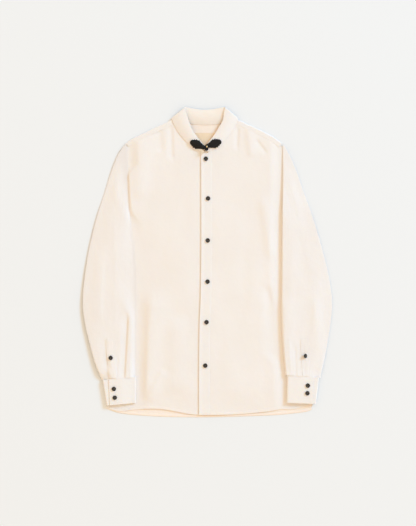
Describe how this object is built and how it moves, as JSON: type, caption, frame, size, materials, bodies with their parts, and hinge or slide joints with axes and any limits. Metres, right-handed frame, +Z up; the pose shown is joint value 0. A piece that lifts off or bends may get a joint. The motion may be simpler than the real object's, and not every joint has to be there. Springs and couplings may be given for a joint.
{
  "type": "long-sleeved silk shirt",
  "caption": "Long-sleeved shirt with a stand collar, buttoned front, buttoned cuffs and a leaf-shaped frog fastening at the neck, laid flat with its sleeves folded down.",
  "frame": {"origin": "on the underside of the back, on the surface the shirt lies on, midway across the shirt and midway between its hem and the top of its collar", "axes": "+X across the shirt from the wearer's right to the left, +Y from the hem to the collar, +Z up from the surface"},
  "size_m": [0.6361, 0.7903, 0.0221],
  "materials": {
    "silk": "soft satin weave",
    "silk_band": "soft satin weave, backed",
    "button": "polished",
    "frog_cord": "matt braid",
    "bead": "polished",
    "label": "woven, blank"
  },
  "bodies": {
    "root": {"back": "silk", "yoke": "silk", "right_front": "silk", "left_front": "silk", "right_sleeve": "silk", "left_sleeve": "silk", "right_sleeve_placket": "silk", "left_sleeve_placket": "silk", "front_band": "silk_band", "collar": "silk_band", "right_cuff": "silk_band", "left_cuff": "silk_band", "neck_label": "label", "front_button_1": "button", "front_button_2": "button", "front_button_3": "button", "front_button_4": "button", "front_button_5": "button", "front_button_6": "button", "right_cuff_button_1": "button", "right_cuff_button_2": "button", "left_cuff_button_1": "button", "left_cuff_button_2": "button", "right_placket_button": "button", "left_placket_button": "button", "right_frog_leaf": "frog_cord", "left_frog_leaf": "frog_cord", "frog_knot": "frog_cord", "frog_bead": "bead"}
  },
  "joints": []
}
